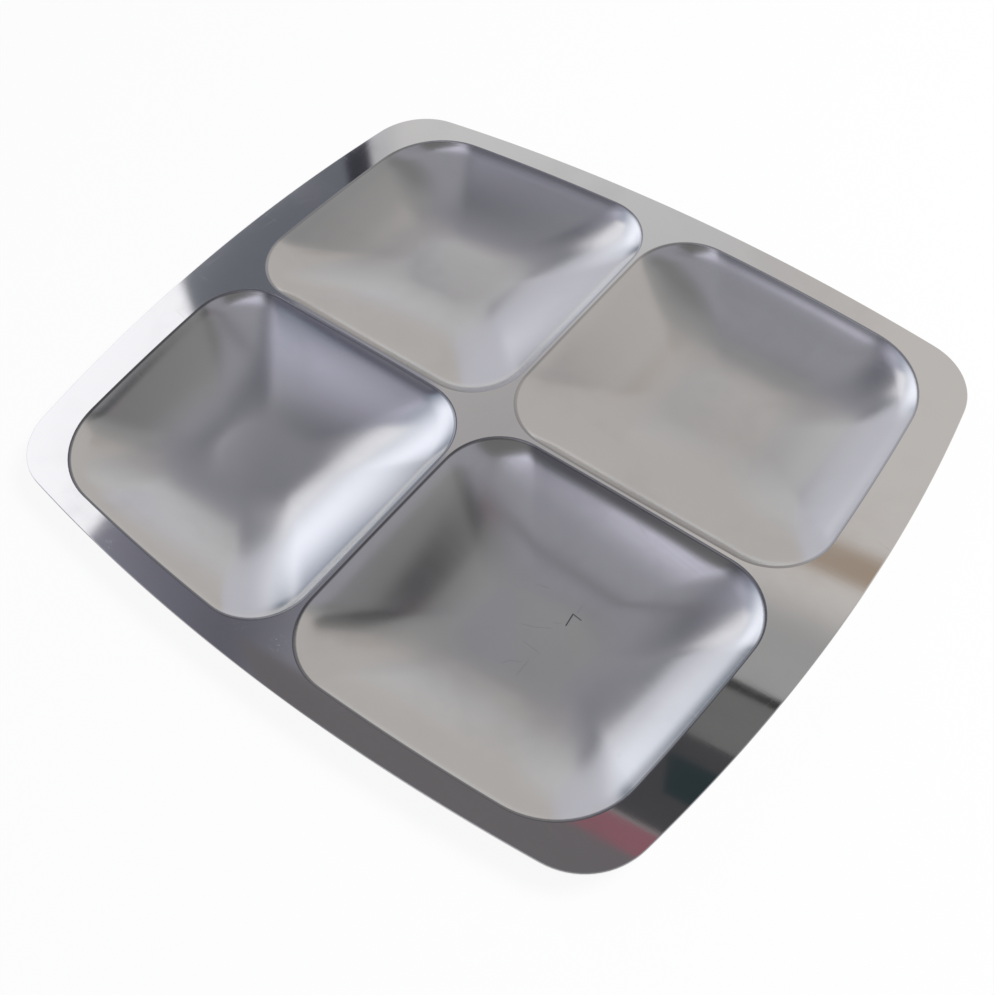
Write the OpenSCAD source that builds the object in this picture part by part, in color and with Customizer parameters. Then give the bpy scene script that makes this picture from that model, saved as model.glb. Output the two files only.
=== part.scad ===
// Serving plate with four dished compartments, pressed from one sheet of stainless steel.
// The origin is under the middle of the plate, on the plane that the compartment floors rest on.
// X runs along the plate, Y across it and Z up.

/* [Plate] */
// Length of the plate over the crowns of its two end edges
plate_l = 280; // [250:1:330]
// Width of the plate over the crowns of its two side edges
plate_w = 248; // [225:1:300]
// Bow radius of the two end edges
end_bow_r = 580; // [400:10:1200]
// Bow radius of the two side edges
side_bow_r = 780; // [500:10:1500]
// Radius of the plate's corners
plate_corner_r = 25.5; // [12:0.5:36]
// Thickness of the sheet
sheet_t = 0.8; // [0.5:0.1:1.2]

/* [Compartments] */
// Width of the flange at the middle of each end
end_flange_w = 16.3; // [10:0.1:24]
// Width of the flange at the middle of each side
side_flange_w = 9.1; // [6:0.1:18]
// Flat width left along the middle of each divider
ridge_w = 0.9; // [0.8:0.1:6]
// Bow radius of the compartments' outer sides
outer_bow_r = 890; // [500:10:2000]
// Bow radius of the compartments' inner sides, along the dividers
inner_bow_r = 4000; // [1500:100:8000]
// Radius of the compartments' corners at the middle of the plate and of its edges
well_corner_r = 22.5; // [14:0.5:28]
// Radius of the compartments' corners at the corners of the plate
outer_corner_r = 31; // [18:0.5:40]
// Radius of the corners of each flat floor
floor_corner_r = 10; // [6:0.5:16]

/* [Profile] */
// Depth of the compartments below the flange
well_depth = 11; // [8:0.5:15]
// Radius of the shoulder where the flange turns down into a compartment
shoulder_r = 1.4; // [1.3:0.1:3]
// Steepest angle of the compartment wall, just under the shoulder
rim_angle = 36; // [32:1:50]
// Radius of the blend under the rim
upper_blend_r = 26; // [15:0.5:40]
// Radius of the wide blend from the wall into the flat floor
floor_blend_r = 96; // [70:1:120]

/* [Hidden] */

// Least straight length between the corners of a floor
floor_side_min = 2;

// Number of straight steps along each kind of curve
edge_steps = 16;
side_steps = 6;
corner_steps = 8;
link_steps = 2;
shoulder_steps = 3;
upper_steps = 3;
floor_steps = 7;

// Crowns of the compartments' outer sides and their inner sides, from the middle of the plate
well_x = plate_l / 2 - end_flange_w;
well_y = plate_w / 2 - side_flange_w;
well_inner = ridge_w / 2;
well_mid = [(well_x + well_inner) / 2, (well_y + well_inner) / 2];
rim_z = sheet_t + well_depth;

// Angle at which the two blends of the wall meet, set by the depth
shoulder_drop = shoulder_r * (1 - cos(rim_angle));
blend_drop = well_depth - shoulder_drop;
blend_cos = (floor_blend_r - upper_blend_r * cos(rim_angle) - blend_drop) / (floor_blend_r - upper_blend_r);
blend_angle = acos(blend_cos);

// Inset and height where each arc of the profile starts, and the inset where the floor starts
upper_start = [shoulder_r * sin(rim_angle), rim_z - shoulder_drop];
upper_span = [sin(rim_angle) - sin(blend_angle), cos(rim_angle) - cos(blend_angle)];
floor_start = upper_start + upper_blend_r * upper_span;
wall_run = floor_start.x + floor_blend_r * sin(blend_angle);

// Corner radius of the floors, limited so that each side of a floor keeps a straight stretch
bow_drop_x = outer_bow_r - sqrt(pow(outer_bow_r, 2) - pow(well_y - wall_run, 2));
bow_drop_y = outer_bow_r - sqrt(pow(outer_bow_r, 2) - pow(well_x - wall_run, 2));
floor_span = min(well_x - bow_drop_x, well_y - bow_drop_y) - well_inner - 2 * wall_run;
floor_r = min(floor_corner_r, (floor_span - floor_side_min) / 2);

// Sides as centre and bow radius, and corner radii, counter-clockwise from +X
plate_sides = [
    [[plate_l / 2 - end_bow_r, 0], end_bow_r],
    [[0, plate_w / 2 - side_bow_r], side_bow_r],
    [[end_bow_r - plate_l / 2, 0], end_bow_r],
    [[0, side_bow_r - plate_w / 2], side_bow_r]
];
plate_corners = [for (i = [0 : 3]) plate_corner_r];
well_sides = [
    [[well_x - outer_bow_r, 0], outer_bow_r],
    [[0, well_y - outer_bow_r], outer_bow_r],
    [[well_inner + inner_bow_r, well_mid.y], inner_bow_r],
    [[well_mid.x, well_inner + inner_bow_r], inner_bow_r]
];
well_corners = [outer_corner_r, well_corner_r, well_corner_r, well_corner_r];

function polar(centre, r, angle) = centre + r * [cos(angle), sin(angle)];

function heading(from, to) = atan2(to.y - from.y, to.x - from.x);

// The angle of an end, counted on from the angle of the start
function onward(start, end) = start + (end - start + 720) % 360;

function arc(centre, r, start, end, steps) =
    [for (i = [0 : steps - 1]) polar(centre, r, start + (onward(start, end) - start) * i / steps)];

// The crossing of two circles that lies to the left of the line from the first centre to the second
function crossing(c1, r1, c2, r2) =
    let (span = norm(c2 - c1))
    let (along = (c2 - c1) / span)
    let (reach = (r1 * r1 - r2 * r2 + span * span) / (2 * span))
    let (rise = sqrt(r1 * r1 - reach * reach))
    c1 + reach * along + rise * [-along.y, along.x];

// Centres of the corner arcs of an outline whose sides are moved in by an inset
function corner_centres(sides, corners, inset) = [
    for (i = [0 : 3])
        let (a = sides[i], b = sides[(i + 1) % 4], r = corners[i] + inset)
        crossing(a[0], a[1] - r, b[0], b[1] - r)
];

// Outline of four bowed sides and four round corners, as eight stretches without their last points
function stretches(sides, corners, inset, steps) =
    let (centres = corner_centres(sides, corners, inset))
    [for (i = [0 : 3]) each
        let (c = sides[i][0], next = sides[(i + 1) % 4][0])
        let (here = centres[i], before = centres[(i + 3) % 4])
        [arc(c, sides[i][1] - inset, heading(c, before), heading(c, here), steps),
         arc(here, corners[i], heading(c, here), heading(next, here), corner_steps)]];

function joined(lists) = [for (part = lists) each part];

function reversed(list) = [for (i = [len(list) - 1 : -1 : 0]) list[i]];

// A closed outline from its quarter between the +X and +Y axes, both end points included
function from_quarter(quarter) =
    let (last = len(quarter) - 1)
    concat(
        [for (i = [0 : last - 1]) quarter[i]],
        [for (i = [last : -1 : 1]) [-quarter[i].x, quarter[i].y]],
        [for (i = [0 : last - 1]) -quarter[i]],
        [for (i = [last : -1 : 1]) [quarter[i].x, -quarter[i].y]]
    );

// Outline of the compartment between the +X and +Y axes, and the short arcs that join it to the axes
well_stretches = stretches(well_sides, well_corners, 0, side_steps);
well_centres = corner_centres(well_sides, well_corners, 0);
link_x = arc(well_sides[0][0], outer_bow_r, 0, heading(well_sides[0][0], well_centres[3]), link_steps);
link_y = concat(
    arc(well_sides[1][0], outer_bow_r, heading(well_sides[1][0], well_centres[1]), 90, link_steps),
    [[0, well_y]]
);

plate_outline = joined(stretches(plate_sides, plate_corners, 0, edge_steps));

// The flange's inner edge follows the compartments' outer sides and bridges the gaps between them
field_outline = from_quarter(concat(
    link_x,
    joined([for (i = [0 : 2]) well_stretches[i]]),
    link_y
));

// The web's edge follows the compartments' inner sides
web_outline = from_quarter(concat(
    link_x,
    [well_stretches[0][0]],
    reversed(joined([for (i = [3 : 7]) well_stretches[i]])),
    [for (i = [1 : link_steps]) link_y[i]]
));

// Profile of the wall as inset, height and slope, from the flange down to the floor
function blend(start, r, from_angle, to_angle, steps) = [
    for (i = [1 : steps])
        let (slope = from_angle + (to_angle - from_angle) * i / steps)
        [start.x + r * (sin(from_angle) - sin(slope)), start.y - r * (cos(slope) - cos(from_angle)), slope]
];
profile = concat(
    [for (i = [0 : shoulder_steps])
        let (slope = rim_angle * i / shoulder_steps)
        [shoulder_r * sin(slope), rim_z - shoulder_r * (1 - cos(slope)), slope]],
    blend(upper_start, upper_blend_r, rim_angle, blend_angle, upper_steps),
    blend(floor_start, floor_blend_r, blend_angle, 0, floor_steps)
);
// The same profile on the underside of the sheet
under_profile = [
    for (p = profile) [p[0] - sheet_t * sin(p[2]), p[1] - sheet_t * cos(p[2]), p[2]]
];

// Outline of a compartment at an inset, with corners that change from the rim's radius to the floor's
function ring(inset, z) =
    let (share = inset / wall_run)
    let (corners = [for (r = well_corners) r + (floor_r - r) * share])
    [for (p = joined(stretches(well_sides, corners, inset, side_steps))) [p.x, p.y, z]];

// A closed skin through a list of rings with an equal number of points
module skin(rings) {
    count = len(rings[0]);
    last = len(rings) - 1;
    walls = [
        for (j = [0 : last - 1], i = [0 : count - 1]) each
            let (a = j * count + i, b = j * count + (i + 1) % count)
            [[a, a + count, b + count], [a, b + count, b]]
    ];
    first_cap = [for (i = [0 : count - 1]) i];
    last_cap = [for (i = [count - 1 : -1 : 0]) last * count + i];
    polyhedron(points = joined(rings), faces = concat([first_cap], walls, [last_cap]));
}

// The compartment between the +X and +Y axes
module well() {
    color("silver")
        skin(concat(
            [for (p = reversed(under_profile)) ring(p[0], p[1])],
            [for (p = profile) ring(p[0], p[1])]
        ));
}

module rim_flange() {
    color("gainsboro")
        translate([0, 0, well_depth])
            linear_extrude(sheet_t)
                difference() {
                    polygon(plate_outline);
                    polygon(field_outline);
                }
}

module divider_web() {
    color("lightgray")
        translate([0, 0, well_depth])
            linear_extrude(sheet_t)
                polygon(web_outline);
}

module well_back_right() {
    well();
}

module well_back_left() {
    mirror([1, 0, 0]) well();
}

module well_front_right() {
    mirror([0, 1, 0]) well();
}

module well_front_left() {
    mirror([1, 0, 0]) mirror([0, 1, 0]) well();
}

rim_flange();
divider_web();
well_back_left();
well_back_right();
well_front_left();
well_front_right();
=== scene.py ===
import math

import bpy
from mathutils import Matrix, Vector


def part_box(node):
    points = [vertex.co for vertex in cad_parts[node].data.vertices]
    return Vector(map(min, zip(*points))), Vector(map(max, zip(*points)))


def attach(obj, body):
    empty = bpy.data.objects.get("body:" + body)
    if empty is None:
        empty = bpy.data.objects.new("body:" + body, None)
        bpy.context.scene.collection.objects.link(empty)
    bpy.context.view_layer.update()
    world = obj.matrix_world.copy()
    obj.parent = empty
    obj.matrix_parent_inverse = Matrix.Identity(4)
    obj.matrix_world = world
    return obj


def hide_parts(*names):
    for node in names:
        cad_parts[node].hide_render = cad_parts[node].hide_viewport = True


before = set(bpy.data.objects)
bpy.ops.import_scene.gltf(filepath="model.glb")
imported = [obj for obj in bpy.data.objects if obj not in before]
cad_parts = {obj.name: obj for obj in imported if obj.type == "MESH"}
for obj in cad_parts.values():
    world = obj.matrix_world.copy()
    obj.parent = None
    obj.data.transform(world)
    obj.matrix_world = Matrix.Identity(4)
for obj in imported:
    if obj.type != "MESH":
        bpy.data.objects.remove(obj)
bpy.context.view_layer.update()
mm = 0.001

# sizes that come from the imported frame
flangeLow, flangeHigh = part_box("rim_flange")
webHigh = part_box("divider_web")[1]
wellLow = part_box("well_back_right")[0]
rimTop = flangeHigh.z
sheetT = flangeHigh.z - flangeLow.z
wellDepth = rimTop - sheetT
wellCrownX = webHigh.x
wellCrownY = webHigh.y
wellInner = wellLow.x

plateOutline = {
    "endBowR": 580 * mm,
    "sideBowR": 780 * mm,
    "cornerR": 25.5 * mm,
}

wellOutline = {
    "outerBowR": 890 * mm,
    "innerBowR": 4000 * mm,
    "cornerR": 22.5 * mm,
    "outerCornerR": 31 * mm,
    "floorCornerR": 10 * mm,
}

outlineSteps = {"side": 18, "corner": 16, "link": 4}


def polar(centre, radius, angle):
    return Vector((centre[0] + radius * math.cos(angle), centre[1] + radius * math.sin(angle)))


def heading(start, end):
    return math.atan2(end[1] - start[1], end[0] - start[0])


def arcPoints(centre, radius, start, end, steps):  # counter-clockwise, without its last point
    sweep = (end - start) % (2 * math.pi)
    return [polar(centre, radius, start + sweep * i / steps) for i in range(steps)]


def crossing(c1, r1, c2, r2):  # the one to the left of the line between the centres
    between = c2 - c1
    span = between.length
    along = between / span
    reach = (r1 * r1 - r2 * r2 + span * span) / (2 * span)
    rise = math.sqrt(r1 * r1 - reach * reach)
    return c1 + reach * along + rise * Vector((-along.y, along.x))


def cornerCentres(sides, corners, inset):
    centres = []
    for i in range(4):
        (c1, r1), (c2, r2) = sides[i], sides[(i + 1) % 4]
        move = corners[i] + inset
        centres.append(crossing(c1, r1 - move, c2, r2 - move))
    return centres


# four bowed sides and four round corners, as eight stretches
def outlineStretches(sides, corners, inset, sideSteps, cornerSteps):
    centres = cornerCentres(sides, corners, inset)
    stretches = []
    for i in range(4):
        middle, bow = sides[i]
        onward = sides[(i + 1) % 4][0]
        before, here = centres[i - 1], centres[i]
        begin, end = heading(middle, before), heading(middle, here)
        stretches.append(arcPoints(middle, bow - inset, begin, end, sideSteps))
        stretches.append(arcPoints(here, corners[i], end, heading(onward, here), cornerSteps))
    return stretches


def joined(lists):
    return [p for part in lists for p in part]


def fromQuarter(quarter):  # from the +X axis to the +Y axis, both ends included
    back = quarter[:0:-1]
    ring = list(quarter[:-1])
    ring += [Vector((-p.x, p.y)) for p in back]
    ring += [-p for p in quarter[:-1]]
    ring += [Vector((p.x, -p.y)) for p in back]
    return ring


halfL = flangeHigh.x
halfW = flangeHigh.y
plateSides = [
    (Vector((halfL - plateOutline["endBowR"], 0)), plateOutline["endBowR"]),
    (Vector((0, halfW - plateOutline["sideBowR"])), plateOutline["sideBowR"]),
    (Vector((plateOutline["endBowR"] - halfL, 0)), plateOutline["endBowR"]),
    (Vector((0, plateOutline["sideBowR"] - halfW)), plateOutline["sideBowR"]),
]
outerBow, innerBow = wellOutline["outerBowR"], wellOutline["innerBowR"]
wellMid = Vector(((wellCrownX + wellInner) / 2, (wellCrownY + wellInner) / 2))
wellSides = [
    (Vector((wellCrownX - outerBow, 0)), outerBow),
    (Vector((0, wellCrownY - outerBow)), outerBow),
    (Vector((wellInner + innerBow, wellMid.y)), innerBow),
    (Vector((wellMid.x, wellInner + innerBow)), innerBow),
]
wellCorners = [wellOutline["outerCornerR"]] + [wellOutline["cornerR"]] * 3
sideSteps, cornerSteps, linkSteps = outlineSteps["side"], outlineSteps["corner"], outlineSteps["link"]
rimStretches = outlineStretches(wellSides, wellCorners, 0, sideSteps, cornerSteps)
rimCentres = cornerCentres(wellSides, wellCorners, 0)
endMiddle, sideMiddle = wellSides[0][0], wellSides[1][0]
linkX = arcPoints(endMiddle, outerBow, 0, heading(endMiddle, rimCentres[3]), linkSteps)
linkY = arcPoints(sideMiddle, outerBow, heading(sideMiddle, rimCentres[1]), math.pi / 2, linkSteps)
linkY.append(Vector((0, wellCrownY)))
print("outlines worked out from the frame")


def raised(ring, z):
    return [Vector((p[0], p[1], z)) for p in ring]


# a skin through rings of equal length, capped at both ends or closed on itself
def skinMesh(name, rings, closed=False, flipped=False, sharpRings=()):
    count = len(rings[0])
    last = len(rings) - (0 if closed else 1)
    faces = []
    for j in range(last):
        a0, b0 = j * count, ((j + 1) % len(rings)) * count
        for i in range(count):
            k = (i + 1) % count
            faces.append((a0 + i, a0 + k, b0 + k, b0 + i))
    if not closed:
        faces.append(tuple(reversed(range(count))))
        faces.append(tuple(range(last * count, (last + 1) * count)))
    if flipped:
        faces = [tuple(reversed(f)) for f in faces]
    mesh = bpy.data.meshes.new(name)
    mesh.from_pydata(joined(rings), [], faces)
    mesh.validate()
    for polygon in mesh.polygons:
        polygon.use_smooth = True
    sharp = {j % len(rings) for j in sharpRings}
    for edge in mesh.edges:  # creases stay crisp under smooth shading
        a, b = edge.vertices
        edge.use_edge_sharp = a // count == b // count and a // count in sharp
    return mesh


def placePiece(name, mesh, nodeName, material):
    piece = bpy.data.objects.new(name, mesh)
    bpy.context.scene.collection.objects.link(piece)
    mesh.materials.append(material)
    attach(piece, "root")
    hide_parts(nodeName)
    return piece


# node helpers: a value is linked when it is a socket, and set when it is a number
def feed(tree, socket, value):
    if isinstance(value, bpy.types.NodeSocket):
        tree.links.new(value, socket)
    else:
        socket.default_value = value


def calc(tree, operation, *values):
    node = tree.nodes.new("ShaderNodeMath")
    node.operation = operation
    for socket, value in zip(node.inputs, values):
        feed(tree, socket, value)
    return node.outputs[0]


# a step between two values, held at its ends
def ramp(tree, value, low, high, start=0.0, end=1.0, smooth=True):
    node = tree.nodes.new("ShaderNodeMapRange")
    node.interpolation_type = "SMOOTHSTEP" if smooth else "LINEAR"
    given = {"Value": value, "From Min": low, "From Max": high, "To Min": start, "To Max": end}
    for key, number in given.items():
        feed(tree, node.inputs[key], number)
    return node.outputs["Result"]


def noise(tree, vector, detail, roughness, distortion=0.0):
    node = tree.nodes.new("ShaderNodeTexNoise")
    feed(tree, node.inputs["Vector"], vector)
    node.inputs["Scale"].default_value = 1.0
    node.inputs["Detail"].default_value = detail
    node.inputs["Roughness"].default_value = roughness
    node.inputs["Distortion"].default_value = distortion
    return node.outputs["Fac"]


def chance(tree, first, second):  # a random value for each pair of numbers
    pair = tree.nodes.new("ShaderNodeCombineXYZ")
    feed(tree, pair.inputs[0], first)
    feed(tree, pair.inputs[1], second)
    node = tree.nodes.new("ShaderNodeTexWhiteNoise")
    node.noise_dimensions = "2D"
    feed(tree, node.inputs["Vector"], pair.outputs[0])
    return node.outputs["Value"]


def vectorCalc(tree, operation, *values, output="Vector"):
    node = tree.nodes.new("ShaderNodeVectorMath")
    node.operation = operation
    for socket, value in zip(node.inputs, values):
        feed(tree, socket, value)
    return node.outputs[output]


def scaled(tree, vector, x, y, z):
    factors = tree.nodes.new("ShaderNodeCombineXYZ")
    for socket, value in zip(factors.inputs, (x, y, z)):
        feed(tree, socket, value)
    return vectorCalc(tree, "MULTIPLY", vector, factors.outputs[0])


def turned(tree, vector, angle):
    node = tree.nodes.new("ShaderNodeVectorRotate")
    node.rotation_type = "Z_AXIS"
    feed(tree, node.inputs["Vector"], vector)
    feed(tree, node.inputs["Angle"], angle)
    return node.outputs[0]


def mixColour(tree, share, first, second):
    node = tree.nodes.new("ShaderNodeMix")
    node.data_type = "RGBA"
    feed(tree, node.inputs[0], share)
    feed(tree, node.inputs[6], first)
    feed(tree, node.inputs[7], second)
    return node.outputs[2]


def newGroup(name, inputs, outputs):
    group = bpy.data.node_groups.new(name, "ShaderNodeTree")
    for label, kind, value in inputs:
        socket = group.interface.new_socket(name=label, in_out="INPUT", socket_type=kind)
        if value is not None:
            socket.default_value = value
    for label, kind in outputs:
        group.interface.new_socket(name=label, in_out="OUTPUT", socket_type=kind)
    return group, group.nodes.new("NodeGroupInput").outputs, group.nodes.new("NodeGroupOutput").inputs


def useGroup(tree, group, **values):
    node = tree.nodes.new("ShaderNodeGroup")
    node.node_tree = group
    for key, value in values.items():
        feed(tree, node.inputs[key], value)
    return node.outputs


vectorIn = ("Vector", "NodeSocketVector", None)


def floatIn(name, value):
    return (name, "NodeSocketFloat", value)


# fine polishing lines that run along X with a slight bend
def buildBrushGrain():
    group, given, result = newGroup(
        "brushGrain",
        [vectorIn, floatIn("Long", 8.0), floatIn("Fine", 900.0), floatIn("Bend", 0.0)],
        [("Grain", "NodeSocketFloat")],
    )
    parts = group.nodes.new("ShaderNodeSeparateXYZ")
    group.links.new(given["Vector"], parts.inputs[0])
    x, y, z = parts.outputs
    bent = calc(group, "ADD", y, calc(group, "MULTIPLY", given["Bend"], calc(group, "MULTIPLY", x, x)))
    place = group.nodes.new("ShaderNodeCombineXYZ")
    feed(group, place.inputs[0], calc(group, "MULTIPLY", x, given["Long"]))
    feed(group, place.inputs[1], calc(group, "MULTIPLY", bent, given["Fine"]))
    feed(group, place.inputs[2], calc(group, "MULTIPLY", z, given["Long"]))
    feed(group, result["Grain"], noise(group, place.outputs[0], 3.0, 0.65))
    return group


# straight hairline scratches in one direction: rows of strokes, of which a share is there
def buildHairScratches():
    group, given, result = newGroup(
        "hairScratches",
        [vectorIn, floatIn("Turn", 0.0), floatIn("Rows", 220.0), floatIn("Strokes", 70.0),
         floatIn("Width", 0.02), floatIn("Cover", 0.12)],
        [("Mask", "NodeSocketFloat")],
    )
    parts = group.nodes.new("ShaderNodeSeparateXYZ")
    feed(group, parts.inputs[0], turned(group, given["Vector"], given["Turn"]))
    along, aside, _ = parts.outputs
    across = calc(group, "MULTIPLY", aside, given["Rows"])
    row = calc(group, "FLOOR", across)
    reach = calc(group, "ADD", calc(group, "MULTIPLY", along, given["Strokes"]), chance(group, row, 0.5))
    stroke = calc(group, "FLOOR", reach)
    share = calc(group, "FRACT", reach)
    there = calc(group, "LESS_THAN", chance(group, row, stroke), given["Cover"])
    middle = calc(group, "MULTIPLY_ADD", chance(group, stroke, row), 0.6, 0.2)
    tilt = chance(group, calc(group, "ADD", row, 0.3), stroke)
    lean = calc(group, "MULTIPLY", calc(group, "SUBTRACT", share, 0.5), tilt)
    offset = calc(group, "SUBTRACT", calc(group, "SUBTRACT", calc(group, "FRACT", across), middle), lean)
    line = ramp(group, calc(group, "ABSOLUTE", offset), 0.0, given["Width"], 1.0, 0.0)
    ends = calc(group, "MULTIPLY", ramp(group, share, 0.0, 0.4), ramp(group, share, 0.6, 1.0, 1.0, 0.0))
    feed(group, result["Mask"], calc(group, "MULTIPLY", calc(group, "MULTIPLY", line, ends), there))
    return group


# one straight cut between two places on the plate, seen from above
def buildScoreLine():
    group, given, result = newGroup(
        "scoreLine",
        [vectorIn, ("Start", "NodeSocketVector", None), ("End", "NodeSocketVector", None),
         floatIn("Width", 0.2 * mm)],
        [("Mask", "NodeSocketFloat")],
    )
    flat = vectorCalc(group, "MULTIPLY", given["Vector"], (1, 1, 0))
    away = vectorCalc(group, "SUBTRACT", flat, given["Start"])
    whole = vectorCalc(group, "SUBTRACT", given["End"], given["Start"])
    dots = [vectorCalc(group, "DOT_PRODUCT", v, whole, output="Value") for v in (away, whole)]
    share = ramp(group, calc(group, "DIVIDE", *dots), 0.0, 1.0, smooth=False)
    spread = group.nodes.new("ShaderNodeCombineXYZ")
    for socket in spread.inputs:
        feed(group, socket, share)
    gap = vectorCalc(group, "SUBTRACT", away, vectorCalc(group, "MULTIPLY", whole, spread.outputs[0]))
    length = vectorCalc(group, "LENGTH", gap, output="Value")
    core = calc(group, "MULTIPLY", given["Width"], 0.3)
    feed(group, result["Mask"], ramp(group, length, core, given["Width"], 1.0, 0.0))
    return group


# small flecks within a radius of a place on the plate
def buildFleckPatch():
    group, given, result = newGroup(
        "fleckPatch",
        [vectorIn, ("Centre", "NodeSocketVector", None), floatIn("Radius", 4 * mm),
         floatIn("Scale", 1700.0)],
        [("Mask", "NodeSocketFloat")],
    )
    flat = vectorCalc(group, "MULTIPLY", given["Vector"], (1, 1, 0))
    away = vectorCalc(group, "LENGTH", vectorCalc(group, "SUBTRACT", flat, given["Centre"]), output="Value")
    near = ramp(group, away, calc(group, "MULTIPLY", given["Radius"], 0.3), given["Radius"], 1.0, 0.0)
    cloud = noise(group, scaled(group, given["Vector"], *[given["Scale"]] * 3), 2.0, 0.6, 0.4)
    feed(group, result["Mask"], calc(group, "MULTIPLY", ramp(group, cloud, 0.64, 0.74), near))
    return group


# slow unevenness of a pressed sheet
def buildSheetWave():
    group, given, result = newGroup(
        "sheetWave", [vectorIn, floatIn("Scale", 15.0)], [("Height", "NodeSocketFloat")])
    place = scaled(group, given["Vector"], *[given["Scale"]] * 3)
    feed(group, result["Height"], noise(group, place, 1.0, 0.4))
    return group


# cloudy handling marks
def buildSmudge():
    group, given, result = newGroup(
        "smudge",
        [vectorIn, floatIn("Scale", 20.0), floatIn("Low", 0.4), floatIn("High", 0.7)],
        [("Mask", "NodeSocketFloat")],
    )
    cloud = noise(group, scaled(group, given["Vector"], *[given["Scale"]] * 3), 4.0, 0.6, 0.4)
    feed(group, result["Mask"], ramp(group, cloud, given["Low"], given["High"]))
    return group


brushGrain = buildBrushGrain()
hairScratches = buildHairScratches()
scoreLine = buildScoreLine()
fleckPatch = buildFleckPatch()
sheetWave = buildSheetWave()
smudge = buildSmudge()
print("finish groups built")

# places of marks are in millimetres from the middle of the plate
polishedFinish = {
    "colour": (0.74, 0.735, 0.73, 1),
    "dullColour": (0.70, 0.69, 0.685, 1),
    "fleckColour": (0.55, 0.55, 0.56, 1),
    "roughness": 0.042,
    "smudgeRoughness": 0.03,
    "scratchRoughness": 0.06,
    "fleckRoughness": 0.25,
    "grainLong": 10.0,
    "grainFine": 1500.0,
    "waveScale": 14.0,
    "smudgeScale": 26.0,
    "smudgeRange": (0.45, 0.75),
    "strokes": [(0.2, 250.0), (1.75, 190.0), (2.4, 160.0)],  # turn and rows of the hairlines
    "waveHeight": 0.08,
    "grainHeight": 0.0006,
    "scratchHeight": 0.0006,
    "fleckHeight": 0.008,
    "flecks": [((3.5, -110.5), 6.0), ((-11.6, -113.6), 3.5), ((-70.0, -117.5), 3.0)],
}

satinFinish = {
    "colour": (0.63, 0.625, 0.62, 1),
    "dullColour": (0.60, 0.595, 0.59, 1),
    "scoreColour": (0.16, 0.16, 0.17, 1),
    # painted shade: a dark line in the colour just under the rim of each well, heavier on the front wells,
    # standing in for the dark reflection at the rim crease
    "rimShadeColour": (0.10, 0.10, 0.11, 1),
    "rimShadeDepth": 0.5,  # how far the painted rim shade reaches down from the rim
    "rimShadeFade": 20,  # half of the stretch across the middle where the painted rim shade fades from front to back
    "frontRimShade": 0.75,
    "backRimShade": 0.3,
    "roughness": 0.15,
    "grainRoughness": 0.045,
    "smudgeRoughness": 0.03,
    "scratchRoughness": 0.05,
    "grainLong": 14.0,
    "grainFine": 1300.0,
    "grainBend": 0.6,
    "waveScale": 18.0,
    "smudgeScale": 30.0,
    "smudgeRange": (0.45, 0.75),
    "strokes": [(0.5, 150.0), (1.9, 130.0)],
    "waveHeight": 0.06,
    "scratchHeight": 0.0005,
    "scoreHeight": 0.02,
    "scoreWidth": 0.3,
    "scores": [
        ((69.0, -46.6), (68.4, -41.9)), ((68.4, -41.9), (71.7, -42.2)),
    ],
    "faintShare": 0.16,  # strength of the faint scores beside the deep ones
    "faintWidth": 0.2,
    "faintScores": [
        ((69.3, -40.5), (69.1, -37.3)), ((65.3, -48.2), (67.5, -46.7)), ((56.8, -54.7), (61.2, -53.1)),
        ((61.2, -53.1), (65.8, -50.2)), ((60.5, -59.2), (67.6, -59.6)), ((60.5, -69.7), (62.0, -67.3)),
        ((62.0, -67.3), (65.3, -65.6)), ((66.9, -70.0), (66.9, -64.0)), ((52.2, -39.7), (56.3, -38.9)),
        ((109.0, -74.8), (109.4, -74.4)),
    ],
}


def newMaterial(name):
    material = bpy.data.materials.new(name)
    material.use_nodes = True
    tree = material.node_tree
    shader = tree.nodes["Principled BSDF"]
    shader.inputs["Metallic"].default_value = 1.0
    place = tree.nodes.new("ShaderNodeTexCoord").outputs["Object"]
    return material, tree, shader, place


def bumpTo(tree, shader, height):  # heights are in millimetres
    bump = tree.nodes.new("ShaderNodeBump")
    bump.inputs["Strength"].default_value = 1.0
    bump.inputs["Distance"].default_value = mm
    feed(tree, bump.inputs["Height"], height)
    feed(tree, shader.inputs["Normal"], bump.outputs[0])


def weighted(tree, *pairs):  # sum of values times weights
    total = None
    for value, weight in pairs:
        term = calc(tree, "MULTIPLY", value, weight)
        total = term if total is None else calc(tree, "ADD", total, term)
    return total


def greatest(tree, values):
    total = values[0]
    for value in values[1:]:
        total = calc(tree, "MAXIMUM", total, value)
    return total


def spot(place):  # a place on the plate as a vector in metres
    return (place[0] * mm, place[1] * mm, 0)


# the waves, smudges and hairlines that both finishes have
def handling(tree, place, f):
    low, high = f["smudgeRange"]
    wave = useGroup(tree, sheetWave, Vector=place, Scale=f["waveScale"])["Height"]
    cloud = useGroup(tree, smudge, Vector=place, Scale=f["smudgeScale"], Low=low, High=high)["Mask"]
    scratch = greatest(tree, [
        useGroup(tree, hairScratches, Vector=place, Turn=turn, Rows=rows)["Mask"]
        for turn, rows in f["strokes"]])
    return wave, cloud, scratch


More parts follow.
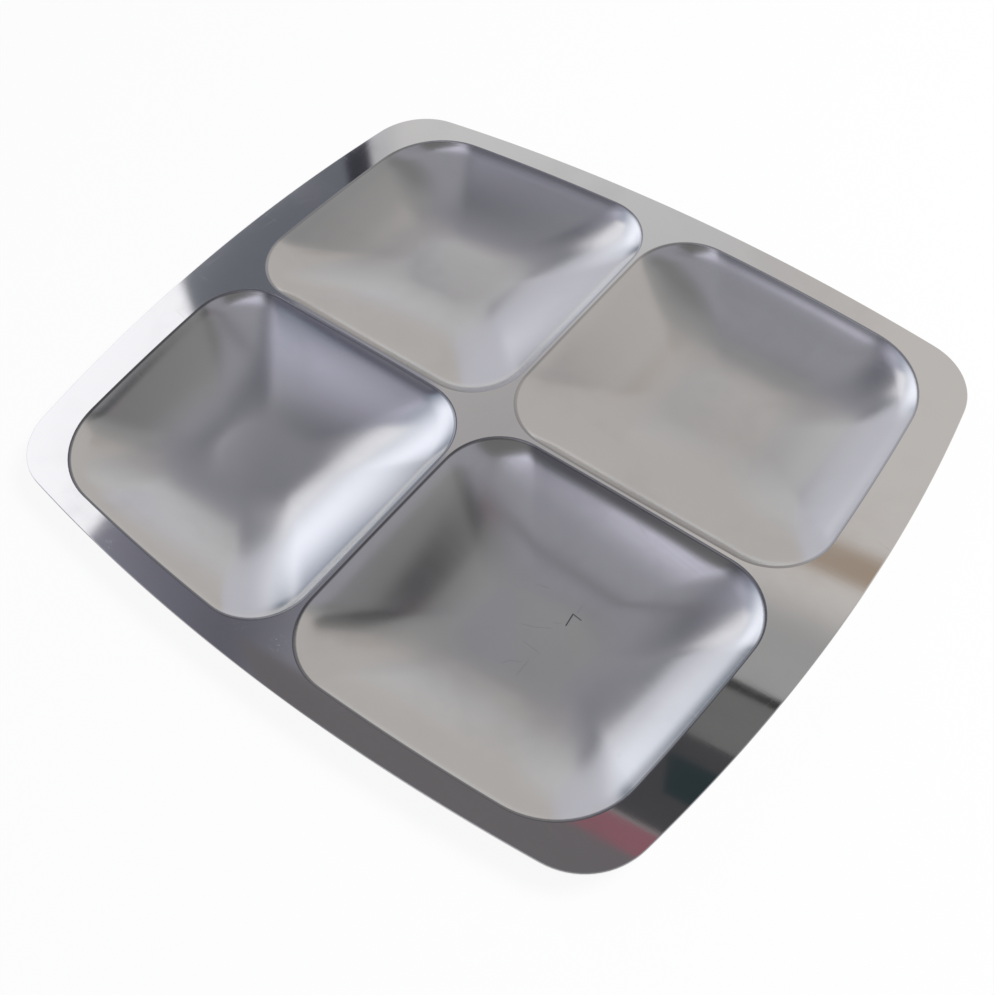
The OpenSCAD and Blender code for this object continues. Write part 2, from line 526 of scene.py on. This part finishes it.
def makePolishedSteel(f):
    material, tree, shader, place = newMaterial("polishedSteel")
    grain = useGroup(
        tree, brushGrain, Vector=place, Long=f["grainLong"], Fine=f["grainFine"])["Grain"]
    wave, cloud, scratch = handling(tree, place, f)
    fleck = greatest(tree, [
        useGroup(tree, fleckPatch, Vector=place, Centre=spot(centre), Radius=radius * mm)["Mask"]
        for centre, radius in f["flecks"]])
    colour = mixColour(tree, cloud, f["colour"], f["dullColour"])
    feed(tree, shader.inputs["Base Color"], mixColour(tree, fleck, colour, f["fleckColour"]))
    rough = weighted(
        tree, (cloud, f["smudgeRoughness"]), (scratch, f["scratchRoughness"]), (fleck, f["fleckRoughness"]))
    feed(tree, shader.inputs["Roughness"], calc(tree, "ADD", rough, f["roughness"]))
    bumpTo(tree, shader, weighted(
        tree, (wave, f["waveHeight"]), (grain, f["grainHeight"]), (scratch, -f["scratchHeight"]),
        (fleck, -f["fleckHeight"])))
    return material


def makeSatinSteel(f):
    material, tree, shader, place = newMaterial("satinSteel")
    grain = useGroup(
        tree, brushGrain, Vector=place, Long=f["grainLong"], Fine=f["grainFine"],
        Bend=f["grainBend"])["Grain"]
    wave, cloud, scratch = handling(tree, place, f)
    deep, faint = (
        greatest(tree, [
            useGroup(tree, scoreLine, Vector=place, Start=spot(a), End=spot(b), Width=width * mm)["Mask"]
            for a, b in lines])
        for lines, width in ((f["scores"], f["scoreWidth"]), (f["faintScores"], f["faintWidth"])))
    score = calc(tree, "MAXIMUM", deep, calc(tree, "MULTIPLY", faint, f["faintShare"]))
    parts = tree.nodes.new("ShaderNodeSeparateXYZ")
    feed(tree, parts.inputs[0], place)
    # painted shade along the rim: the colour darkens just under the rim top, more on the front wells than
    # on the back ones
    depth = f["rimShadeDepth"] * mm
    rimShade = ramp(tree, parts.outputs[2], rimTop - depth, rimTop - depth / 3)
    fade = f["rimShadeFade"] * mm
    rimShadeShare = ramp(tree, parts.outputs[1], -fade, fade, f["frontRimShade"], f["backRimShade"])
    colour = mixColour(tree, cloud, f["colour"], f["dullColour"])
    colour = mixColour(tree, calc(tree, "MULTIPLY", rimShade, rimShadeShare), colour, f["rimShadeColour"])
    feed(tree, shader.inputs["Base Color"], mixColour(tree, score, colour, f["scoreColour"]))
    rough = weighted(
        tree, (grain, f["grainRoughness"]), (cloud, f["smudgeRoughness"]), (scratch, f["scratchRoughness"]))
    feed(tree, shader.inputs["Roughness"], calc(tree, "ADD", rough, f["roughness"]))
    bumpTo(tree, shader, weighted(
        tree, (wave, f["waveHeight"]), (scratch, -f["scratchHeight"]), (score, -f["scoreHeight"])))
    return material


polishedSteel = makePolishedSteel(polishedFinish)
satinSteel = makeSatinSteel(satinFinish)
print("steel finishes built")

rimFlange = {"edgeR": 0.3 * mm, "edgeSteps": 4, "edgeHold": 0.1 * mm, "bands": 6}


def buildFlange(f):
    plateCorners = [plateOutline["cornerR"]] * 4
    inner = fromQuarter(linkX + joined(rimStretches[:3]) + linkY)
    halfSteps = sideSteps + linkSteps

    def outer(inset):
        corners = [r - inset for r in plateCorners]
        centre = cornerCentres(plateSides, corners, inset)[0]
        (c0, r0), (c1, r1) = plateSides[0], plateSides[1]
        quarter = arcPoints(c0, r0 - inset, 0, heading(c0, centre), halfSteps)
        quarter += arcPoints(centre, corners[0], heading(c0, centre), heading(c1, centre), cornerSteps)
        quarter += arcPoints(c1, r1 - inset, heading(c1, centre), math.pi / 2, halfSteps)
        return fromQuarter(quarter + [Vector((0, halfW - inset))])

    def between(a, b, share):
        return [p.lerp(q, share) for p, q in zip(a, b)]

    lowZ = rimTop - sheetT
    edge = outer(f["edgeR"] + f["edgeHold"])  # keeps the flange flat up to its rounded edge
    top = [raised(between(inner, edge, i / f["bands"]), rimTop) for i in range(f["bands"] + 1)]
    rounded = []
    for i in range(f["edgeSteps"] + 1):
        turn = math.pi / 2 * i / f["edgeSteps"]
        ring = outer(f["edgeR"] * (1 - math.sin(turn)))
        rounded.append((ring, f["edgeR"] * (1 - math.cos(turn))))
    upper = [raised(ring, rimTop - drop) for ring, drop in rounded]
    lower = [raised(ring, lowZ + drop) for ring, drop in reversed(rounded)]
    bottom = [raised(edge, lowZ), raised(inner, lowZ)]
    rings = top + upper + lower + bottom
    mesh = skinMesh("rimFlange", rings, closed=True, flipped=True, sharpRings=(0, -1))
    return placePiece("rimFlange", mesh, "rim_flange", polishedSteel)


buildFlange(rimFlange)
print("flange built")


def buildWeb():
    inside = joined(rimStretches[3:])
    quarter = linkX + [rimStretches[0][0]] + list(reversed(inside)) + linkY[1:]
    outline = fromQuarter(quarter)
    rings = [raised(outline, rimTop - sheetT), raised(outline, rimTop)]
    mesh = skinMesh("dividerWeb", rings, sharpRings=(0, 1))
    return placePiece("dividerWeb", mesh, "divider_web", polishedSteel)


buildWeb()
print("divider web built")

wellProfile = {
    "shoulderR": 1.4 * mm,
    "rimAngle": 36,
    "upperBlendR": 26 * mm,
    "floorBlendR": 96 * mm,
    "shoulderSteps": 8,
    "upperSteps": 6,
    "floorSteps": 22,
    "flatBand": 1.0 * mm,
}


def buildProfile(f):
    steep = math.radians(f["rimAngle"])
    shoulder, upper, lower = f["shoulderR"], f["upperBlendR"], f["floorBlendR"]
    drop = shoulder * (1 - math.cos(steep))
    meet = math.acos((lower - upper * math.cos(steep) - (wellDepth - drop)) / (lower - upper))
    points = [(0.0, rimTop, 0.0)]
    for i in range(f["shoulderSteps"] + 1):  # the first step is kept tiny, so that the crease shades flat
        slope = steep * max(i / f["shoulderSteps"], 0.01)
        points.append((shoulder * math.sin(slope), rimTop - shoulder * (1 - math.cos(slope)), slope))
    blends = ((upper, steep, meet, f["upperSteps"]), (lower, meet, 0.0, f["floorSteps"]))
    for radius, start, end, steps in blends:
        inset, height, _ = points[-1]
        for i in range(1, steps + 1):
            slope = start + (end - start) * i / steps
            points.append((
                inset + radius * (math.sin(start) - math.sin(slope)),
                height - radius * (math.cos(slope) - math.cos(start)),
                slope,
            ))
    return points


profile = buildProfile(wellProfile)
wallRun = profile[-1][0]
profile.append((wallRun + wellProfile["flatBand"], profile[-1][1], 0.0))


def wellRing(inset, z):
    share = min(inset / wallRun, 1.0)
    corners = [r + (wellOutline["floorCornerR"] - r) * share for r in wellCorners]
    beyond = max(inset - wallRun, 0.0)
    corners = [r - beyond for r in corners]
    return raised(joined(outlineStretches(wellSides, corners, inset, sideSteps, cornerSteps)), z)


def buildWell(name, nodeName, signX, signY):
    under = [(s - sheetT * math.sin(a), z - sheetT * math.cos(a)) for s, z, a in profile]
    rings = [wellRing(s, z) for s, z in reversed(under)]
    rimUnder = len(rings) - 1
    rings += [wellRing(s, z) for s, z, _ in profile]
    mirrored = [[Vector((p.x * signX, p.y * signY, p.z)) for p in ring] for ring in rings]
    mesh = skinMesh(name, mirrored, flipped=signX * signY < 0, sharpRings=(rimUnder, rimUnder + 1))
    return placePiece(name, mesh, nodeName, satinSteel)


buildWell("wellBackLeft", "well_back_left", -1, 1)
buildWell("wellBackRight", "well_back_right", 1, 1)
buildWell("wellFrontLeft", "well_front_left", -1, -1)
buildWell("wellFrontRight", "well_front_right", 1, -1)
print("four wells built")

# soft studio room around the plate; each panel lies on an upright wall one unit away in the compass
# direction "facing" from +X, and is given by its left, right, low and high offsets, its blur and,
# where its top and bottom lean, its slant
roomPanels = {
    "ceiling": {"colour": (0.4, 0.4, 0.45, 1)},
    "leftCeiling": {
        "facing": 230, "span": (-0.15, 2, 1.9, 90), "blur": 0.4, "colour": (1.1, 1.1, 1.3, 1)},
    "rightCeiling": {
        "facing": 285, "span": (-1, 2, 0.65, 90), "blur": 0.1, "colour": (0.2, 0.2, 0.2, 1)},
    "frontWall": {
        "facing": 285, "span": (-2.5, 2.5, -9, 0.8), "blur": 0.2, "colour": (0.8, 0.8, 0.8, 1)},
    "lintel": {
        "facing": 190, "span": (-0.9, 1.75, 1.15, 2.25), "blur": 0.4, "colour": (0.08, 0.08, 0.1, 1)},
    "lintelGlow": {
        "facing": 190, "span": (-0.35, 0.45, 0.85, 1.85), "blur": 0.5, "colour": (0.7, 0.7, 0.85, 1)},
    "wall": {
        "facing": 97.5, "span": (-2.4, 0.8, -9, 1.85), "blur": 0.02, "colour": (0.65, 0.62, 0.6, 1)},
    "wallTop": {
        "facing": 97.5, "span": (-1.75, 0.7, 1.7, 2.5), "blur": 0.1, "colour": (0.4, 0.4, 0.4, 1)},
    "wallGlow": {
        "facing": 97.5, "span": (0.3, 0.85, 0.7, 1.3), "blur": 0.15, "colour": (0.75, 0.75, 0.75, 1)},
    "wallShade": {
        "facing": 97.5, "span": (-1.75, 0.65, 2.5, 4.5), "blur": 0.45, "colour": (0.25, 0.25, 0.25, 1)},
    "brownRail": {
        "facing": 97.5, "span": (0, 0.2, 1.48, 1.57), "blur": 0.02, "colour": (0.4, 0.32, 0.25, 1)},
    "palePost": {
        "facing": 190, "span": (-1.9, -0.6, -9, 1.3), "blur": 0.02, "colour": (0.72, 0.72, 0.8, 1)},
    "lowGap": {
        "facing": 150, "span": (0, 0.1, -9, 0.6), "blur": 0.03, "colour": (0.05, 0.1, 0.15, 1)},
    "darkRail": {
        "facing": 190, "span": (-1.25, -0.82, 0.98, 1.2), "slant": 0.22, "blur": 0.01,
        "colour": (0.16, 0.17, 0.2, 1)},
    "postEdge": {
        "facing": 190, "span": (-1.29, -1.22, 1.28, 1.4), "blur": 0.01, "colour": (0.03, 0.03, 0.04, 1)},
    "curtain": {
        "facing": 190, "span": (0.15, 0.7, 0, 1.35), "blur": 0.1, "colour": (0.1, 0.1, 0.15, 1)},
    "window": {
        "facing": 190, "span": (-0.6, 0.45, -0.2, 1.25), "blur": 0.02, "colour": (0.3, 0.35, 0.45, 1)},
    "windowCore": {
        "facing": 190, "span": (-0.85, 0.25, 0.4, 1), "blur": 0.3, "colour": (1.45, 1.5, 1.65, 1)},
    "windowTop": {
        "facing": 190, "span": (-0.82, -0.3, 1.05, 1.4), "blur": 0.01, "colour": (1.3, 1.3, 1.35, 1)},
    "farCorner": {
        "facing": 155, "span": (-0.65, -0.15, 1.2, 1.75), "blur": 0.6, "colour": (0.2, 0.2, 0.25, 1)},
}

horizonBand = {"height": 0.1, "blur": 0.04, "colour": (0.9, 0.9, 0.9, 1)}


def buildSoftPanel():
    group, given, result = newGroup(
        "softPanel",
        [vectorIn, floatIn("Facing", 0.0), floatIn("Left", -1.0), floatIn("Right", 1.0),
         floatIn("Low", 0.0), floatIn("High", 1.0), floatIn("Slant", 0.0), floatIn("Blur", 0.1)],
        [("Mask", "NodeSocketFloat")],
    )
    parts = group.nodes.new("ShaderNodeSeparateXYZ")
    backTurn = calc(group, "MULTIPLY", given["Facing"], -1.0)
    feed(group, parts.inputs[0], turned(group, given["Vector"], backTurn))
    ahead, aside, rise = parts.outputs
    reach = calc(group, "MAXIMUM", ahead, 0.001)

    def within(value, low, high):
        edges = []
        for edge, start, end in ((low, 0.0, 1.0), (high, 1.0, 0.0)):
            begin = calc(group, "SUBTRACT", edge, given["Blur"])
            finish = calc(group, "ADD", edge, given["Blur"])
            edges.append(ramp(group, value, begin, finish, start, end))
        return calc(group, "MULTIPLY", *edges)

    offset = calc(group, "DIVIDE", aside, reach)
    height = calc(group, "MULTIPLY_ADD", offset, given["Slant"], calc(group, "DIVIDE", rise, reach))
    wide = within(offset, given["Left"], given["Right"])
    tall = within(height, given["Low"], given["High"])
    front = calc(group, "GREATER_THAN", ahead, 0.001)
    feed(group, result["Mask"], calc(group, "MULTIPLY", calc(group, "MULTIPLY", wide, tall), front))
    return group


def buildRoom(panels, horizon):
    softPanel = buildSoftPanel()
    world = bpy.data.worlds.new("studioRoom")
    bpy.context.scene.world = world
    world.use_nodes = True
    tree = world.node_tree
    direction = tree.nodes.new("ShaderNodeTexCoord").outputs["Generated"]
    colour = panels["ceiling"]["colour"]
    for panel in list(panels.values())[1:]:
        left, right, low, high = panel["span"]
        mask = useGroup(
            tree, softPanel, Vector=direction, Facing=math.radians(panel["facing"]),
            Left=left, Right=right, Low=low, High=high, Slant=panel.get("slant", 0.0),
            Blur=panel["blur"])["Mask"]
        colour = mixColour(tree, mask, colour, panel["colour"])
    parts = tree.nodes.new("ShaderNodeSeparateXYZ")
    feed(tree, parts.inputs[0], direction)
    top, bottom = horizon["height"] + horizon["blur"], horizon["height"] - horizon["blur"]
    low = ramp(tree, parts.outputs[2], bottom, top, 1.0, 0.0)
    colour = mixColour(tree, low, colour, horizon["colour"])
    feed(tree, tree.nodes["Background"].inputs["Color"], colour)


buildRoom(roomPanels, horizonBand)

# Boards that hang over the far side of the plate and show dark in its flange.
# Each span is left, right, low and high in millimetres, from the foot along the boards and up.
hangingBoards = {
    "foot": (140 * mm, 140 * mm),
    "facing": 97.5,
    "gap": 0.2 * mm,
    "boards": {
        "soffit": {"span": (120, 580, 760, 1000), "colour": (0.17, 0.16, 0.17, 1)},
        "shelf": {"span": (25, 145, 372, 460), "colour": (0.18, 0.18, 0.18, 1)},
        "shelfEdge": {"span": (25, 110, 358, 372), "colour": (0.04, 0.04, 0.04, 1)},
        "beam": {"span": (35, 155, 460, 675), "colour": (0.07, 0.07, 0.075, 1)},
        "beamShade": {"span": (50, 110, 505, 585), "colour": (0.03, 0.045, 0.05, 1)},
        "warmPatch": {"span": (100, 210, 685, 765), "colour": (0.29, 0.13, 0.16, 1)},
    },
}


def buildBoards(f):
    turn = math.radians(f["facing"])
    along = Vector((-math.sin(turn), math.cos(turn), 0))
    front = Vector((-math.cos(turn), -math.sin(turn), 0))
    for i, (name, board) in enumerate(f["boards"].items()):
        left, right, low, high = (edge * mm for edge in board["span"])
        foot = Vector((*f["foot"], 0)) + front * f["gap"] * i
        corners = ((left, low), (right, low), (right, high), (left, high))
        mesh = bpy.data.meshes.new(name)
        mesh.from_pydata([foot + along * x + Vector((0, 0, z)) for x, z in corners], [], [(0, 1, 2, 3)])
        material = bpy.data.materials.new(name)
        material.use_nodes = True
        tree = material.node_tree
        glow = tree.nodes.new("ShaderNodeEmission")
        glow.inputs["Color"].default_value = board["colour"]
        feed(tree, tree.nodes["Material Output"].inputs["Surface"], glow.outputs[0])
        mesh.materials.append(material)
        sheet = bpy.data.objects.new(name, mesh)
        bpy.context.scene.collection.objects.link(sheet)
        sheet.visible_camera = sheet.visible_diffuse = sheet.visible_shadow = False


buildBoards(hangingBoards)

keyLamp = {"compass": 38, "height": 56, "distance": 1.3, "size": 0.5, "power": 12}


def buildLamp(f):
    data = bpy.data.lights.new("keyLamp", "AREA")
    data.size = f["size"]
    data.energy = f["power"]
    lamp = bpy.data.objects.new("keyLamp", data)
    bpy.context.scene.collection.objects.link(lamp)
    flat, rise = math.radians(f["compass"]), math.radians(f["height"])
    out = Vector((math.cos(flat) * math.cos(rise), math.sin(flat) * math.cos(rise), math.sin(rise)))
    lamp.location = out * f["distance"]
    lamp.rotation_euler = out.to_track_quat("Z", "Y").to_euler()
    lamp.visible_glossy = False


buildLamp(keyLamp)

floorSheet = {
    "reach": 4.0,
    "drop": 0.2 * mm,
    "colour": (0.82, 0.82, 0.82, 1),
    "roughness": 0.9,
    "whiteShare": 0.9,  # how white the floor looks to the camera and in reflections
}


def buildFloor(f):
    r = f["reach"]
    mesh = bpy.data.meshes.new("floorSheet")
    mesh.from_pydata([(-r, -r, 0), (r, -r, 0), (r, r, 0), (-r, r, 0)], [], [(0, 1, 2, 3)])
    sheet = bpy.data.objects.new("floorSheet", mesh)
    sheet.location.z = -f["drop"]
    bpy.context.scene.collection.objects.link(sheet)
    material = bpy.data.materials.new("paleFloor")
    material.use_nodes = True
    tree = material.node_tree
    shader = tree.nodes["Principled BSDF"]
    shader.inputs["Base Color"].default_value = f["colour"]
    shader.inputs["Roughness"].default_value = f["roughness"]
    shader.inputs["Specular IOR Level"].default_value = 0.0
    glow = tree.nodes.new("ShaderNodeEmission")
    rays = tree.nodes.new("ShaderNodeLightPath").outputs
    seen = calc(tree, "MAXIMUM", rays["Is Camera Ray"], rays["Is Glossy Ray"])
    seen = calc(tree, "MAXIMUM", seen, rays["Is Transmission Ray"])
    mix = tree.nodes.new("ShaderNodeMixShader")
    feed(tree, mix.inputs[0], calc(tree, "MULTIPLY", seen, f["whiteShare"]))
    feed(tree, mix.inputs[1], shader.outputs[0])
    feed(tree, mix.inputs[2], glow.outputs[0])
    feed(tree, tree.nodes["Material Output"].inputs["Surface"], mix.outputs[0])
    mesh.materials.append(material)


buildFloor(floorSheet)
print("room, lamp and floor built")

cameraView = {
    "azimuth": 46.438,
    "elevation": 55.146,
    "roll": -8.688,
    "distance": 414.15 * mm,
    "target": (11.59 * mm, -35.70 * mm),
    "lens": 44.365,
    "sensor": 36.0,
    "shiftX": 0.0503,
}


def buildCamera(f):
    data = bpy.data.cameras.new("plateCamera")
    data.lens = f["lens"]
    data.sensor_width = f["sensor"]
    data.shift_x = f["shiftX"]
    camera = bpy.data.objects.new("plateCamera", data)
    bpy.context.scene.collection.objects.link(camera)
    a, e, r = (math.radians(f[key]) for key in ("azimuth", "elevation", "roll"))
    back = Vector((math.sin(a) * math.cos(e), -math.cos(a) * math.cos(e), math.sin(e)))
    level = Vector((math.cos(a), math.sin(a), 0))
    rise = back.cross(level)
    right = math.cos(r) * level + math.sin(r) * rise
    up = back.cross(right)
    place = Vector((f["target"][0], f["target"][1], rimTop)) + back * f["distance"]
    turn = Matrix((right, up, back)).transposed().to_4x4()
    camera.matrix_world = Matrix.Translation(place) @ turn
    bpy.context.scene.camera = camera


buildCamera(cameraView)
bpy.context.scene.view_settings.view_transform = "Standard"
print("camera placed")
